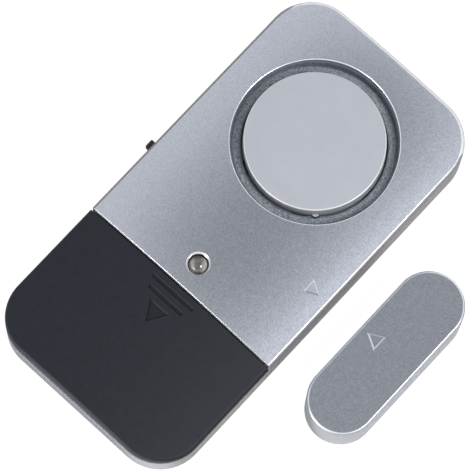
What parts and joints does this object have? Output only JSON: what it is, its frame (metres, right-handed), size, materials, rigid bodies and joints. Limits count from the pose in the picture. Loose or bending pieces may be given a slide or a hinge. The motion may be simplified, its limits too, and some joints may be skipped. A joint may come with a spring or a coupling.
{
  "type": "door alarm",
  "caption": "Flat silver door alarm with a round sounder, lamp, side switch and sliding dark battery cover, with its round-ended magnet unit beside it.",
  "frame": {"origin": "middle of the alarm unit's back face, which lies on the ground", "axes": "+X across the alarm unit towards the magnet unit, +Y along the alarm unit towards the sounder, +Z out of the front faces"},
  "size_m": [0.0678, 0.09, 0.0104],
  "materials": {
    "silver_plastic": "satin metallic",
    "cap_silver": "satin metallic",
    "dark_plastic": "fine texture",
    "smoked_lens": "polished",
    "lamp_red": "polished",
    "black_plastic": "satin",
    "board_green": "coated",
    "brass_sheet": "rolled",
    "ceramic_white": "fired",
    "clear_glass": "polished",
    "plated_steel": "plated",
    "copper_wire": "enamelled",
    "resistor_black": "matte",
    "capacitor_tan": "matte",
    "cell_steel": "plated",
    "red_sleeve": "satin",
    "black_sleeve": "satin",
    "zinc_screw": "zinc plated",
    "foam_tape": "soft foam",
    "magnet_grey": "sintered"
  },
  "bodies": {
    "alarm": {"rear_case": "silver_plastic", "front_shell": "silver_plastic", "sounder_cap": "cap_silver", "indicator_lens": "smoked_lens", "indicator_lamp": "lamp_red", "switch_base": "black_plastic", "alarm_chip": "black_plastic", "driver_transistor": "black_plastic", "coil_core": "black_plastic", "circuit_board": "board_green", "piezo_plate": "brass_sheet", "piezo_ceramic": "ceramic_white", "reed_glass": "clear_glass", "reed_blades": "plated_steel", "switch_frame": "plated_steel", "switch_pins": "plated_steel", "lamp_legs": "plated_steel", "chip_legs": "plated_steel", "negative_contact": "plated_steel", "cell_link": "plated_steel", "positive_contact": "plated_steel", "coil_winding": "copper_wire", "chip_resistor_1": "resistor_black", "chip_resistor_2": "resistor_black", "chip_resistor_3": "resistor_black", "chip_resistor_4": "resistor_black", "chip_capacitor_1": "capacitor_tan", "chip_capacitor_2": "capacitor_tan", "coin_cell_left": "cell_steel", "coin_cell_middle": "cell_steel", "coin_cell_right": "cell_steel", "battery_lead_red": "red_sleeve", "piezo_lead_red": "red_sleeve", "battery_lead_black": "black_sleeve", "piezo_lead_black": "black_sleeve", "case_screws": "zinc_screw", "mounting_tape": "foam_tape"},
    "cover": {"battery_cover": "dark_plastic", "cover_link": "plated_steel"},
    "knob": {"switch_knob": "black_plastic"},
    "magnet": {"magnet_cover": "silver_plastic", "magnet_base": "silver_plastic", "bar_magnet": "magnet_grey", "magnet_tape": "foam_tape"}
  },
  "joints": [
    {"name": "cover_slide", "type": "slide", "parent": "alarm", "child": "cover", "axis": [0, -1, 0], "range_m": [0, 0.032]},
    {"name": "switch_slide", "type": "slide", "parent": "alarm", "child": "knob", "axis": [0, -1, 0], "range_m": [0, 0.002]},
    {"name": "magnet_slide", "type": "slide", "parent": "alarm", "child": "magnet", "axis": [1, 0, 0], "range_m": [-0.006, 0.06]}
  ]
}
